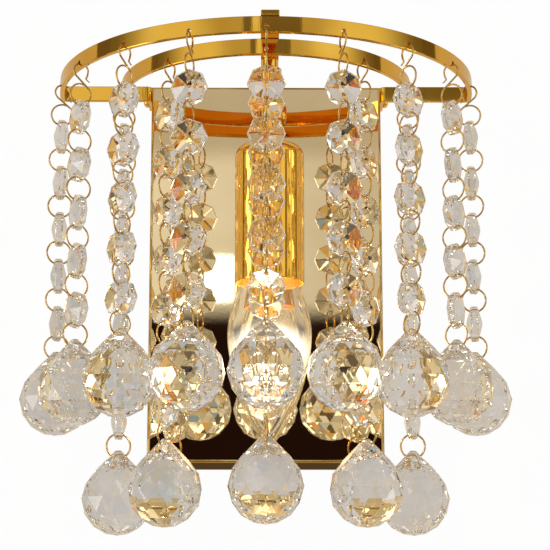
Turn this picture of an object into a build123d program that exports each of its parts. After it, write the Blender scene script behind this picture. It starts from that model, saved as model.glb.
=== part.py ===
"""Crystal wall sconce: two half rings of gilt strip, fourteen crystal strands and a candle lamp.

The origin is the middle of the two wall slots, on the wall.  +Y points into the wall, -Y to the
front and +Z up.  All lengths are millimetres and all angles degrees.
"""

from build123d import *

import os
from math import cos, pi, radians, sin

# Flat strip stock of the hanging frame.
strip_height = 6.8
strip_thick = 2.0
strip_bend = 2.5  # outside radius where the strip turns back along the plate
outer_radius = 90.0  # outside of the outer half ring
inner_radius = 63.3  # outside of the inner half ring
bar_reach = 21.0  # wall to the front face of the back bars
flange_length = 15.0
hook_drop = 4.4  # strip's top edge to the hook holes
hook_bore = 2.0

# Back plate: a shallow mirror-polished pan that covers the wall box.
plate_width = 100.0
plate_height = 165.0
plate_depth = 25.0
plate_wall = 1.2
plate_edge = 2.5  # outside radius of the rolled front edge
plate_drop = 1.5  # bars' top edge to the plate's top edge

# Wall bracket: a U of steel strip behind the plate.
bracket_height = 24.0
bracket_thick = 2.0
bracket_gap = 0.3
ear_length = 18.0
slot_spacing = 60.0
slot_width = 4.5
slot_length = 10.0

# Centre arm, which lies across the tops of both rings.
arm_width = 7.4
arm_thick = 2.3
arm_offset = 1.5  # the arm and the lamp stand this far right of the middle strands
arm_nose = 1.0  # how far the arm passes the outer ring
foot_length = 12.0
foot_screw_rise = 4.5  # foot's bottom edge to its screw

# Screws and nuts.
side_screw = 3.0
side_screw_drop = 4.4  # strip's top edge to the side screws
side_screw_length = 8.0
side_head = 6.0
side_head_height = 2.2
arm_screw = 4.0
arm_head = 7.0
arm_head_height = 2.4
hanger_screw_length = 6.0
nut_flats = 10.0
nut_height = 3.2
thread_gap = 0.05  # between a screw and the hole that it is cut into
screw_gap = 0.2  # between a screw and the hole that it passes through

# Lamp hanger, its side feed and the candle sleeve.
lamp_forward = 36.0  # front face of the back bars to the lamp's axis
neck_diameter = 7.0
neck_length = 4.0
hanger_diameter = 10.0
hanger_bore = 6.0
feed_diameter = 6.0
feed_bore = 4.0
feed_overhang = 2.0  # how far the feed tube passes its inner nut
tee_flats = 14.0
tee_height = 6.4
tee_drop = 24.4  # strip's top edge to the middle of the tee
sleeve_diameter = 28.7
sleeve_wall = 1.0
sleeve_length = 58.8
sleeve_drop = 37.7  # strip's top edge to the top of the sleeve
sleeve_shoulder = 5.0
holder_diameter = 23.0
holder_crown = 16.0
holder_crown_height = 6.0
holder_length = 45.5
holder_bore = 15.8
holder_roof = 19.5  # top of the holder to the top of its bore
thread_reach = 8.0  # how deep the hanger is screwed into the holder
contact_wall = 0.6
contact_length = 18.0
contact_lift = 1.0  # bottom of the holder to the thread shell
contact_pad = 6.0
contact_pad_height = 1.5

# Candle bulb, base up.
cap_diameter = 13.9
cap_length = 24.0
cap_contact = 4.8
cap_contact_height = 1.2
cap_insulator = 7.0
cap_taper = 3.0
cap_gap = 0.3  # between the holder's pad and the bulb's end contact
bulb_length = 100.0  # end contact to tip
glass_wall = 0.8
glass_rows = [  # depth below the cap, radius
    (0, 7.4), (6, 9.2), (13, 12.2), (21, 15), (32.5, 17.5), (40, 16.9), (54, 13.5), (65, 8.5), (72, 4.2)
]
stem_diameter = 4.4
stem_length = 26.0
filament_wire = 0.5
filament_span = 10.0
filament_rise = 12.0
filament_bend = 1.0

# Terminal block in the plate.
block_width = 18.0
block_height = 14.0
block_depth = 11.0
block_recess = 2.0

# Crystal strands.
outer_angles = [-80, -60, -40, -20, 0, 20, 40, 60, 80]  # from straight ahead, + to the right
inner_angles = [-80, -40, 0, 40, 80]
outer_count = 5  # octagons on a strand of the outer ring
inner_count = 7
octagon_sides = 8
octagon_flats = 14.0
octagon_edge = 3.0
octagon_middle = 6.8
octagon_hole = 1.6
octagon_reach = 5.0  # middle of the octagon to each hole
wire = 0.8
wire_sides = 3
link_corners = 6
hook_corners = 8
link_diameter = 10.1  # across the middle of the wire
link_seat = 0.15  # how far the wire lies off the middle of a hole, towards the octagon's edge
loop_top = 6.4  # the hook's upper loop, across the middle of the wire
loop_bottom = 9.2
loop_seat = 0.2  # how far the wire lies below the middle of the hook hole
first_octagon_drop = 27.8  # strip's top edge to the middle of the first octagon
ball_sides = 8
ball_rows = [(0.0, 1.3), (6.8, 10.3), (12.7, 14.7), (19.6, 15.0), (28.9, 10.8)]  # depth, radius
ball_height = 35.1
ball_hole_width = 1.6
ball_hole_height = 2.5
ball_hole_depth = 2.35  # top of the ball to the middle of its hole
ball_seat = 3.07  # top of the ball to the middle of the wire that carries it

# Flat sides of the turned parts.
lamp_sides = 20
core_sides = 12
bore_sides = 6

# Places that follow from the sizes.
strip_top = bracket_height / 2 + bracket_gap + plate_wall + plate_drop
strip_bottom = strip_top - strip_height
plate_top = strip_top - plate_drop
plate_middle = plate_top - plate_height / 2
plate_side = plate_width / 2
hook_level = strip_top - hook_drop
screw_place = (flange_length / 2 - bar_reach, strip_top - side_screw_drop)
foot_screw = (arm_offset, strip_top - foot_length + foot_screw_rise)
lamp_place = (arm_offset, -bar_reach - lamp_forward)
lamp_plane = Plane.XZ.offset(bar_reach + lamp_forward)  # across the wall, through the lamp's axis
screw_fit = arm_screw / 2 + thread_gap
tee_level = strip_top - tee_drop
feed_place = (arm_offset, tee_level)
feed_end = -plate_depth + plate_wall + nut_height + feed_overhang
sleeve_top = strip_top - sleeve_drop
holder_top = sleeve_top - sleeve_wall
holder_bottom = holder_top - holder_length
contact_roof = holder_top - holder_roof
bulb_top = contact_roof - contact_pad_height - cap_gap
cap_bottom = bulb_top - cap_length
link_pitch = 2 * (octagon_reach + link_seat) + link_diameter

os.makedirs("parts", exist_ok=True)


def save(piece, name):
    """Label a finished piece and write its file."""
    piece.part.label = name
    export_step(piece.part, f"parts/{name}.step")


def hook_places(radius, angles):
    """Give the places of the hook holes on a ring, each turned so that its -Y points outwards."""
    places = []
    for angle in angles:
        turn = radians(angle)
        centre = (radius * sin(turn), -bar_reach - radius * cos(turn), hook_level)
        places.append(Location(centre, (0, 0, angle)))
    return places


def half_ring(radius, tail, angles):
    """Make a half ring of strip on its edge, with straight tails towards the wall and hook holes."""
    with BuildSketch(Plane.XY.offset(strip_bottom)) as band:
        with Locations((0, -bar_reach)):
            Circle(radius)
            Circle(radius - strip_thick, mode=Mode.SUBTRACT)
            Rectangle(2 * radius, radius, align=(Align.CENTER, Align.MIN), mode=Mode.SUBTRACT)
            if tail:
                with GridLocations(2 * radius - strip_thick, 0, 2, 1):
                    Rectangle(strip_thick, tail, align=(Align.CENTER, Align.MIN))
    extrude(band.sketch, amount=strip_height)
    places = hook_places(radius - strip_thick / 2, angles)
    with BuildSketch(*[Plane(place) * Plane.XZ for place in places]) as bores:
        RegularPolygon(hook_bore / 2, bore_sides)
    extrude(bores.sketch, amount=strip_thick, both=True, mode=Mode.SUBTRACT)


def faceted(rows, sides, middle=lamp_place, alternate=False, mode=Mode.ADD):
    """Make a solid of flat facets through rows of (level, radius) about an upright axis.

    A row of no radius is a point.  With alternate, each row after the second is turned by half a
    side, so that its facets are triangles, as on a cut stone.
    """
    rings = []
    for row, (level, radius) in enumerate(rows):
        turn = (row - 1) % 2 if alternate and row > 1 else 0
        angles = [pi * (2 * side + 1 + turn) / sides for side in range(sides)]
        corners = [(radius * cos(angle), radius * sin(angle)) for angle in angles]
        rings.append([(middle[0] + x, middle[1] + y, level) for x, y in corners])
    outlines = [ring for ring, row in ((rings[0], rows[0]), (rings[-1], rows[-1])) if row[1] > 0]
    for row, (ring, following) in enumerate(zip(rings, rings[1:])):
        for side in range(sides):
            start, end = ring[side - 1], ring[side]
            under_start, under_end = following[side - 1], following[side]
            if rows[row + 1][1] == 0:
                outlines.append([start, end, under_end])
            elif not alternate or row == 0:
                outlines.append([start, end, under_end, under_start])
            elif row % 2:
                outlines += [[start, end, under_start], [end, under_end, under_start]]
            else:
                outlines += [[start, end, under_end], [start, under_end, under_start]]
    add(Solid(Shell([Face(Wire.make_polygon(outline)) for outline in outlines])), mode=mode)


# Hanging frame ------------------------------------------------------------------------------

with BuildPart() as outer_ring:
    half_ring(outer_radius, strip_thick, outer_angles)
save(outer_ring, "outer_ring")

with BuildPart() as inner_ring:
    half_ring(inner_radius, 0, inner_angles)
save(inner_ring, "inner_ring")

with BuildPart() as right_back_bar:
    with BuildSketch(Plane.XY.offset(strip_bottom)) as bar_outline:
        with Locations((plate_side, -bar_reach)):
            Rectangle(
                outer_radius - strip_thick - plate_side, strip_thick, align=(Align.MIN, Align.MIN)
            )
            Rectangle(strip_thick, flange_length, align=(Align.MIN, Align.MIN))
        outside = (plate_side, -bar_reach)
        inside = (plate_side + strip_thick, strip_thick - bar_reach)
        fillet(bar_outline.vertices().sort_by_distance(outside)[0], strip_bend)
        fillet(bar_outline.vertices().sort_by_distance(inside)[0], strip_bend - strip_thick)
    extrude(amount=strip_height)
    with BuildSketch(Plane.YZ.offset(plate_side)):
        with Locations(screw_place):
            RegularPolygon(side_screw / 2 + screw_gap, bore_sides, major_radius=False)
    extrude(amount=strip_thick, mode=Mode.SUBTRACT)
save(right_back_bar, "right_back_bar")

with BuildPart() as left_back_bar:
    mirror(right_back_bar.part, about=Plane.YZ)
save(left_back_bar, "left_back_bar")

with BuildPart() as centre_arm:
    arm_top = strip_top + arm_thick
    with BuildSketch(Plane.YZ.offset(arm_offset - arm_width / 2)) as arm_side:
        arm_reach = bar_reach + outer_radius + arm_nose - plate_depth
        with Locations((-plate_depth, arm_top)):
            Rectangle(arm_reach, arm_thick, align=(Align.MAX, Align.MAX))
            Rectangle(arm_thick, foot_length + arm_thick, align=(Align.MAX, Align.MAX))
        fillet(arm_side.vertices().sort_by_distance((-plate_depth, arm_top))[0], arm_thick)
    extrude(amount=arm_width)
    with BuildSketch(Plane.XY.offset(strip_top)):
        with Locations(lamp_place):
            RegularPolygon(arm_screw / 2 + screw_gap, bore_sides, major_radius=False)
    extrude(amount=arm_thick, mode=Mode.SUBTRACT)
    with BuildSketch(Plane.XZ.offset(plate_depth)):
        with Locations(foot_screw):
            RegularPolygon(arm_screw / 2 + thread_gap, bore_sides, major_radius=False)
    extrude(amount=arm_thick, mode=Mode.SUBTRACT)
save(centre_arm, "centre_arm")

# Back plate and wall bracket ----------------------------------------------------------------

with BuildPart() as backplate:
    with BuildSketch(Plane.XZ):
        with Locations((0, plate_middle)):
            Rectangle(plate_width, plate_height)
    extrude(amount=plate_depth)
    fillet(backplate.faces().sort_by(Axis.Y)[0].edges(), plate_edge)
    offset(amount=-plate_wall, openings=backplate.faces().sort_by(Axis.Y)[-1])
    with BuildSketch(Plane.XZ.offset(plate_depth)):
        with Locations(foot_screw):
            RegularPolygon(arm_screw / 2 + screw_gap, bore_sides, major_radius=False)
        with Locations(feed_place):
            RegularPolygon(feed_diameter / 2 + screw_gap, bore_sides, major_radius=False)
    extrude(amount=-plate_wall, mode=Mode.SUBTRACT)
    with BuildSketch(Plane.YZ):
        with Locations(screw_place):
            RegularPolygon(side_screw / 2 + screw_gap, bore_sides, major_radius=False)
    extrude(amount=plate_width, both=True, mode=Mode.SUBTRACT)
save(backplate, "backplate")

with BuildPart() as wall_bracket:
    bracket_width = plate_width - 2 * plate_wall
    with BuildSketch(Plane.XY.offset(-bracket_height / 2)):
        top_middle = (Align.CENTER, Align.MAX)
        Rectangle(bracket_width, ear_length, align=top_middle)
        with Locations((0, -bracket_thick)):
            inner_width = bracket_width - 2 * bracket_thick
            Rectangle(inner_width, ear_length, align=top_middle, mode=Mode.SUBTRACT)
    extrude(amount=bracket_height)
    with BuildSketch(Plane.XZ):
        with GridLocations(slot_spacing, 0, 2, 1):
            SlotOverall(slot_length, slot_width)
    extrude(amount=bracket_thick, mode=Mode.SUBTRACT)
    with BuildSketch(Plane.YZ):
        with Locations(screw_place):
            RegularPolygon(side_screw / 2 + thread_gap, bore_sides, major_radius=False)
    extrude(amount=bracket_width, both=True, mode=Mode.SUBTRACT)
save(wall_bracket, "wall_bracket")

with BuildPart() as side_screws:
    for side in (1, -1):
        for diameter, length in ((side_head, side_head_height), (side_screw, -side_screw_length)):
            with BuildSketch(Plane.YZ.offset(side * (plate_side + strip_thick))):
                with Locations(screw_place):
                    RegularPolygon(diameter / 2, core_sides)
            extrude(amount=side * length)
save(side_screws, "side_screws")

with BuildPart() as terminal_block:
    with BuildSketch(Plane.XZ.offset(bracket_thick)):
        Rectangle(block_width, block_height)
    extrude(amount=block_depth)
    with BuildSketch(Plane.XZ.offset(bracket_thick + block_depth)):
        with GridLocations(block_width / 2, 0, 2, 1):
            Rectangle(block_width / 3, block_height / 2)
    extrude(amount=-block_recess, mode=Mode.SUBTRACT)
save(terminal_block, "terminal_block")

# Lamp hanger, sleeve and holder ---------------------------------------------------------------

with BuildPart() as hanger_tube:
    shoulder_level = strip_top - neck_length
    tube_bottom = holder_top - thread_reach
    tube_rows = [(strip_top, neck_diameter / 2), (shoulder_level, neck_diameter / 2)]
    faceted(tube_rows, core_sides)
    faceted([(shoulder_level, hanger_diameter / 2), (tube_bottom, hanger_diameter / 2)], core_sides)
    bore_top = shoulder_level - neck_length
    bore_rows = [(bore_top, hanger_bore / 2), (tube_bottom, hanger_bore / 2)]
    faceted(bore_rows, core_sides, mode=Mode.SUBTRACT)
    thread_rows = [(strip_top, screw_fit), (strip_top + arm_thick - hanger_screw_length, screw_fit)]
    faceted(thread_rows, core_sides, mode=Mode.SUBTRACT)
    with BuildSketch(lamp_plane):
        with Locations(feed_place):
            RegularPolygon(feed_bore / 2, core_sides)
    extrude(amount=-hanger_diameter, mode=Mode.SUBTRACT)
save(hanger_tube, "hanger_tube")

with BuildPart() as lamp_arm:
    with BuildSketch(Plane.XY.offset(tee_level - tee_height / 2)):
        with Locations(lamp_place):
            RegularPolygon(tee_flats / 2, 6, major_radius=False)
    extrude(amount=tee_height)
    with BuildSketch(lamp_plane):
        with Locations(feed_place):
            RegularPolygon(feed_diameter / 2, core_sides)
    extrude(amount=lamp_place[1] - feed_end)
    tube_hole = hanger_diameter / 2 + thread_gap
    hole_rows = [(tee_level + tee_height, tube_hole), (tee_level - tee_height, tube_hole)]
    faceted(hole_rows, core_sides, mode=Mode.SUBTRACT)
    with BuildSketch(lamp_plane):
        with Locations(feed_place):
            RegularPolygon(feed_bore / 2, core_sides)
    extrude(amount=lamp_place[1] - feed_end, mode=Mode.SUBTRACT)
save(lamp_arm, "lamp_arm")

with BuildPart() as arm_fixings:
    hanger_screw = (Plane.XY.offset(arm_top), lamp_place, arm_head_height, -hanger_screw_length)
    foot_seat = Plane.XZ.offset(plate_depth - plate_wall)
    foot_fixing = (foot_seat, foot_screw, -arm_head_height, plate_wall + arm_thick)
    for seat, place, head_height, shank in (hanger_screw, foot_fixing):
        for diameter, length in ((arm_head, head_height), (arm_screw, shank)):
            with BuildSketch(seat):
                with Locations(place):
                    RegularPolygon(diameter / 2, core_sides, rotation=180 / core_sides)
            extrude(amount=length)
    for seat, length in ((plate_depth - plate_wall, -nut_height), (plate_depth, nut_height)):
        with BuildSketch(Plane.XZ.offset(seat)):
            with Locations(feed_place):
                RegularPolygon(nut_flats / 2, 6, major_radius=False)
                RegularPolygon(feed_diameter / 2 + thread_gap, core_sides, mode=Mode.SUBTRACT)
        extrude(amount=length)
save(arm_fixings, "arm_fixings")

with BuildPart() as candle_sleeve:
    sleeve_bottom = sleeve_top - sleeve_length
    for shrink, mode in ((0, Mode.ADD), (sleeve_wall, Mode.SUBTRACT)):
        rim = sleeve_diameter / 2 - shrink
        curve = sleeve_shoulder - shrink
        centre = (rim - curve, sleeve_top - shrink - curve)
        turns = [radians(turn) for turn in (90, 45, 0)]
        rows = [(centre[1] + curve * sin(turn), centre[0] + curve * cos(turn)) for turn in turns]
        faceted([*rows, (sleeve_bottom, rim)], lamp_sides, mode=mode)
    tube_hole = hanger_diameter / 2 + screw_gap
    hole_rows = [(sleeve_top, tube_hole), (sleeve_top - sleeve_wall, tube_hole)]
    faceted(hole_rows, core_sides, mode=Mode.SUBTRACT)
save(candle_sleeve, "candle_sleeve")

with BuildPart() as lamp_holder:
    holder_rows = [
        (holder_top, holder_crown / 2),
        (holder_top - holder_crown_height, holder_diameter / 2),
        (holder_bottom, holder_diameter / 2),
    ]
    faceted(holder_rows, core_sides)
    bore_rows = [(contact_roof, holder_bore / 2), (holder_bottom, holder_bore / 2)]
    faceted(bore_rows, core_sides, mode=Mode.SUBTRACT)
    thread_hole = hanger_diameter / 2 + thread_gap
    faceted([(holder_top, thread_hole), (tube_bottom, thread_hole)], core_sides, mode=Mode.SUBTRACT)
save(lamp_holder, "lamp_holder")

with BuildPart() as holder_contacts:
    shell_bottom = holder_bottom + contact_lift
    for shrink, mode in ((thread_gap, Mode.ADD), (thread_gap + contact_wall, Mode.SUBTRACT)):
        shell = holder_bore / 2 - shrink
        shell_rows = [(shell_bottom + contact_length, shell), (shell_bottom, shell)]
        faceted(shell_rows, core_sides, mode=mode)
    pad = contact_pad / 2
    faceted([(contact_roof, pad), (contact_roof - contact_pad_height, pad)], core_sides)
save(holder_contacts, "holder_contacts")

# Bulb ------------------------------------------------------------------------------------------

with BuildPart() as bulb_cap:
    insulator_top = bulb_top - cap_contact_height
    cap_rows = [
        (insulator_top, cap_insulator / 2),
        (insulator_top - cap_taper, cap_diameter / 2),
        (cap_bottom, cap_diameter / 2),
    ]
    faceted(cap_rows, core_sides)
    faceted([(bulb_top, cap_contact / 2), (insulator_top, cap_contact / 2)], core_sides)
save(bulb_cap, "bulb_cap")

with BuildPart() as bulb_glass:
    bulb_tip = bulb_top - bulb_length
    outside = [(cap_bottom - depth, radius) for depth, radius in glass_rows]
    faceted([*outside, (bulb_tip, 0)], lamp_sides)
    inside = [(level, radius - glass_wall) for level, radius in outside[::2]]
    faceted([*inside, (bulb_tip + 2 * glass_wall, 0)], lamp_sides, mode=Mode.SUBTRACT)
save(bulb_glass, "bulb_glass")

with BuildPart() as bulb_filament:
    stem_end = cap_bottom - stem_length
    middle = lamp_place[1]
    faceted([(cap_bottom, stem_diameter / 2), (stem_end, stem_diameter / 2)], bore_sides)
    with BuildLine(Plane.YZ.offset(arm_offset)) as filament_route:
        Polyline(
            (middle - filament_bend, stem_end + filament_bend),
            (middle - filament_span / 2, stem_end - filament_rise),
            (middle + filament_span / 2, stem_end - filament_rise),
            (middle + filament_bend, stem_end + filament_bend),
        )
    filament_path = filament_route.wires()[0]
    with BuildSketch(Plane(filament_path @ 0, z_dir=filament_path % 0)):
        Rectangle(filament_wire, filament_wire)
    sweep(path=filament_path, transition=Transition.RIGHT)
save(bulb_filament, "bulb_filament")

# Crystal strands ---------------------------------------------------------------------------------
# Each master piece is made straight ahead of the rings' centre, with -Y pointing outwards.  The
# hook hangs from a hook hole at the origin, and the others have the origin at their own middle.


def loop_corners(size, middle, corners, steps):
    """Give the corners of a wire loop of flat sides, standing across the ring, about a level."""
    corner = size / 2 / cos(pi / corners)
    turns = [2 * pi * (step + 0.5) / corners for step in steps]
    return [(-corner * cos(turn), middle + corner * sin(turn)) for turn in turns]


def bend_wire(points, close=False):
    """Sweep the wire's section along straight runs in the plane across the ring."""
    with BuildLine(Plane.YZ) as route:
        Polyline(*points, close=close)
    path = route.wires()[0]
    with BuildSketch(Plane(path @ 0, z_dir=path % 0)) as section:
        RegularPolygon(wire / 2, wire_sides)
    sweep(section.sketch, path=path, transition=Transition.RIGHT)


with BuildPart() as link_ring:
    first_corner = link_corners / 4 - 1  # puts flat sides at the top and the bottom
    steps = [first_corner + step for step in range(link_corners)]
    bend_wire(loop_corners(link_diameter, 0, link_corners, steps), close=True)

with BuildPart() as hook:
    upper_middle = -loop_seat - loop_top / 2
    lower_middle = hook_drop - first_octagon_drop + octagon_reach + link_seat + loop_bottom / 2
    upper_loop = loop_corners(loop_top, upper_middle, hook_corners, range(4, -2, -1))
    lower_loop = loop_corners(loop_bottom, lower_middle, hook_corners, range(3, 9))
    bend_wire(upper_loop + lower_loop)

with BuildPart() as octagon:
    flat_on_top = 180 / octagon_sides  # turns an octagon so that it stands on a flat side
    with BuildSketch(Plane.XZ.offset(-octagon_edge / 2)):
        RegularPolygon(octagon_flats / 2, octagon_sides, major_radius=False, rotation=flat_on_top)
    extrude(amount=octagon_edge)
    for side in (1, -1):
        with BuildSketch(Plane.XZ.offset(side * octagon_edge / 2), mode=Mode.PRIVATE) as facet_base:
            RegularPolygon(octagon_flats / 2, octagon_sides, major_radius=False, rotation=flat_on_top)
        peak = Vertex(0, -side * octagon_middle / 2, 0)
        loft(sections=[facet_base.sketch.face(), peak], ruled=True)
    with BuildSketch(Plane.XZ):
        with GridLocations(0, 2 * octagon_reach, 1, 2):
            Rectangle(octagon_hole, octagon_hole)
    extrude(amount=octagon_middle, both=True, mode=Mode.SUBTRACT)

with BuildPart() as crystal_ball:
    ball_cut = [(-depth, radius) for depth, radius in ball_rows]
    faceted([*ball_cut, (-ball_height, 0)], ball_sides, middle=(0, 0), alternate=True)
    with BuildSketch(Plane.XZ):
        with Locations((0, -ball_hole_depth)):
            Rectangle(ball_hole_width, ball_hole_height)
    extrude(amount=ball_height, both=True, mode=Mode.SUBTRACT)


def save_strand(name, place, count):
    """Write a strand's hook and links, its octagons and its ball."""
    drops = [first_octagon_drop - hook_drop + step * link_pitch for step in range(count)]
    link_drops = [drop + link_pitch / 2 for drop in drops]
    ball_top = link_drops[-1] + link_diameter / 2 - ball_seat
    with BuildPart() as links:
        with Locations(place):
            add(hook.part)
        with Locations(*[place * Location((0, 0, -drop)) for drop in link_drops]):
            add(link_ring.part)
    save(links, f"{name}_links")
    with BuildPart() as octagons:
        with Locations(*[place * Location((0, 0, -drop)) for drop in drops]):
            add(octagon.part)
    save(octagons, f"{name}_octagons")
    with BuildPart() as ball:
        with Locations(place * Location((0, 0, -ball_top))):
            add(crystal_ball.part)
    save(ball, f"{name}_ball")


for number, place in enumerate(hook_places(outer_radius - strip_thick / 2, outer_angles), start=1):
    save_strand(f"outer_strand_{number}", place, outer_count)
for number, place in enumerate(hook_places(inner_radius - strip_thick / 2, inner_angles), start=1):
    save_strand(f"inner_strand_{number}", place, inner_count)
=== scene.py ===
"""Crystal wall sconce: the finished look of a gilt wall light with hanging crystal strands.

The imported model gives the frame.  Each class below makes one sub-assembly round, bevelled and
facet-cut over its plain solids, and dresses it.  Sizes are millimetres unless a name says
otherwise, and meshes are metres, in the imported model's own frame: the wall is y = 0, -Y is the
front and +Z is up.
"""

import logging
from collections.abc import Callable, Iterator, Sequence
from contextlib import contextmanager
from dataclasses import dataclass
from enum import Enum
from functools import cache, partialmethod
from math import asin, cos, degrees, pi, radians, sin, sqrt

import bmesh
import bpy
from mathutils import Matrix, Vector


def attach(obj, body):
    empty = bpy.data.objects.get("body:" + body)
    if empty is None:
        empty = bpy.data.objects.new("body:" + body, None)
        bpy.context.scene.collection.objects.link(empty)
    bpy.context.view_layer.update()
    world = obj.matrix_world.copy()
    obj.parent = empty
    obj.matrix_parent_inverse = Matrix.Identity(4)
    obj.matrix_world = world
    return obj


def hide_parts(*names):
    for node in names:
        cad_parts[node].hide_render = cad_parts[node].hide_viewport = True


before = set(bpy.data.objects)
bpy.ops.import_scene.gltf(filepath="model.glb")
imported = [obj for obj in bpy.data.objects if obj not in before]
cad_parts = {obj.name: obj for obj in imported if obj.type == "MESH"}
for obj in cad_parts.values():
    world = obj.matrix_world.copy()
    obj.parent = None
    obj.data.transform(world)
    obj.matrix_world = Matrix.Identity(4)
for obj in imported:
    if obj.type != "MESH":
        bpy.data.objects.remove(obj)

log = logging.getLogger("sconce")

MM = 0.001
Piece = bpy.types.Object
Colour = tuple[float, float, float]
Point = tuple[float, float, float]
Profile = Sequence[tuple[float, float]]

# Sizes that several pieces share.
STRIP_TOP = 15.0
REACH = 21.0  # wall to the rings' centre
HOLE_LEVEL = 10.6  # hook holes and side screws
SCREW_DEPTH = 13.5  # wall to the side screws
SCREW_BORE = 1.7
PLATE_DEPTH = 25.0
PLATE_SIDE = 50.0
LAMP = (1.5, -57.0)  # the lamp's upright axis
FOOT_LEVEL = 7.5  # the screw that fixes the arm's foot
FEED_LEVEL = -9.4  # the lamp's side feed
OUTER_ANGLES = (-80, -60, -40, -20, 0, 20, 40, 60, 80)  # from straight ahead
INNER_ANGLES = (-80, -40, 0, 40, 80)


# Shader expressions ------------------------------------------------------------------------------


class Value:
    """A shader socket that Python's operators work on, each through a Math node of its own."""

    def __init__(self, paint: "Paint", socket: bpy.types.NodeSocket) -> None:
        """Wrap a node's output socket."""
        self.paint = paint
        self.socket = socket

    def math(self, operation: str, *values: "Value | float", swap: bool = False) -> "Value":
        """Add a Math node.

        Args:
            operation: Blender's name for the sum.
            values: the other terms.
            swap: whether this value comes last.

        Returns:
            The node's result.
        """
        terms = [self, *values]
        if swap:
            terms.reverse()
        return self.paint.add("Math", dict(enumerate(terms)), operation=operation)

    __add__ = __radd__ = partialmethod(math, "ADD")
    __sub__ = partialmethod(math, "SUBTRACT")
    __rsub__ = partialmethod(math, "SUBTRACT", swap=True)
    __mul__ = __rmul__ = partialmethod(math, "MULTIPLY")

    def smooth(self, low: float, high: float) -> "Value":
        """Rise smoothly from 0 at the low limit to 1 at the high one."""
        return self.paint.add("MapRange", {"Value": self, 1: low, 2: high}, interpolation_type="SMOOTHSTEP")

    def between(self, low: float, high: float) -> "Value":
        """Give 1 between two limits, with a soft edge of a tenth."""
        return self.smooth(low - 0.1, low) - self.smooth(high, high + 0.1)


class Paint:
    """The node tree of one material or world."""

    def __init__(self, owner: bpy.types.Material | bpy.types.World) -> None:
        """Empty the owner's node tree."""
        owner.use_nodes = True
        self.owner = owner
        self.tree = owner.node_tree
        self.tree.nodes.clear()

    def add(
        self, kind: str, sockets: dict | None = None, output: str | int = 0, **settings: object
    ) -> Value:
        """Add one node.

        Args:
            kind: the node's type, without its ShaderNode.
            sockets: numbers, colours or wrapped sockets for its inputs, by name or index.
            output: which output to give back.
            settings: its own settings, set before its sockets.

        Returns:
            The chosen output, wrapped.
        """
        node = self.tree.nodes.new(f"ShaderNode{kind}")
        for name, setting in settings.items():
            setattr(node, name, setting)
        for name, value in (sockets or {}).items():
            if isinstance(value, Value):
                self.tree.links.new(value.socket, node.inputs[name])
            elif node.inputs[name].type == "RGBA":
                node.inputs[name].default_value = (*value, 1.0)
            else:
                node.inputs[name].default_value = value
        return Value(self, node.outputs[output])

    def mix(self, factor: Value | float, first: object, second: object) -> Value:
        """Blend two colours: 0 gives the first, 1 the second."""
        return self.add("Mix", {0: factor, 6: first, 7: second}, 2, data_type="RGBA")

    def layers(self, base: object, *layers: tuple[Value, object]) -> Value:
        """Lay colours over a base in turn.

        Args:
            base: the colour below.
            layers: (mask, colour) pairs; a colour covers where its mask is 1.

        Returns:
            The colour on top.
        """
        for mask, colour in layers:
            base = self.mix(mask, base, colour)
        return base

    def blend(self, factor: Value | float, first: Value, second: Value) -> Value:
        """Blend two shaders."""
        return self.add("MixShader", {0: factor, 1: first, 2: second})

    def emission(self, colour: object) -> Value:
        """Give a shader that shines in a colour."""
        return self.add("Emission", {"Color": colour, "Strength": 1.0})

    def ray(self, which: str) -> Value:
        """Give one fact of the ray that is being traced."""
        return self.add("LightPath", output=which)

    def along(self, vector: Value, axis: str) -> Value:
        """Give one coordinate of a vector."""
        return self.add("SeparateXYZ", {"Vector": vector}, axis)

    def place(self, stretch: Point = (1.0, 1.0, 1.0)) -> Value:
        """Give Object coordinates, stretched on each axis."""
        return self.add("Mapping", {"Vector": self.add("TexCoord", output="Object"), "Scale": stretch})

    def noise(self, scale: float, detail: float, stretch: Point = (1.0, 1.0, 1.0)) -> Value:
        """Give soft noise between 0 and 1, with so many blotches to a metre and octaves of detail."""
        return self.add("TexNoise", {"Vector": self.place(stretch), "Scale": scale, "Detail": detail})

    def cells(self, place: Value, scale: float, count: int) -> list[Value]:
        """Give random values, up to three, that are even over each cell of a patchwork."""
        colour = self.add("TexVoronoi", {"Vector": place, "Scale": scale}, "Color")
        return [self.add("SeparateColor", {"Color": colour}, index) for index in range(count)]

    def bump(self, height: Value, depth_mm: float, under: Value | None = None) -> Value:
        """Turn a height into a bumped normal.

        Args:
            height: the height.
            depth_mm: how deep a height of 1 is.
            under: the normal of the surface under it, if that is bumped too.

        Returns:
            The normal.
        """
        sockets = {"Height": height, "Distance": depth_mm * MM}
        if under:
            sockets["Normal"] = under
        return self.add("Bump", sockets)

    def finish(self, shader: Value) -> None:
        """Join a shader to the tree's output."""
        kind = "World" if isinstance(self.owner, bpy.types.World) else "Material"
        node = self.tree.nodes.new(f"ShaderNodeOutput{kind}")
        self.tree.links.new(shader.socket, node.inputs["Surface"])


# Finishes ----------------------------------------------------------------------------------------


@dataclass(frozen=True)
class Look:
    """What every finish has: its material's name and the name of its slot."""

    name: str
    slot: str

    def make(self) -> bpy.types.Material:
        """Build the material."""
        paint = Paint(bpy.data.materials.new(self.name))
        paint.finish(paint.add("BsdfPrincipled", self.sockets(paint)))
        return paint.owner

    def sockets(self, paint: Paint) -> dict[str, object]:
        """Give the shader's inputs."""
        raise NotImplementedError


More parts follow.
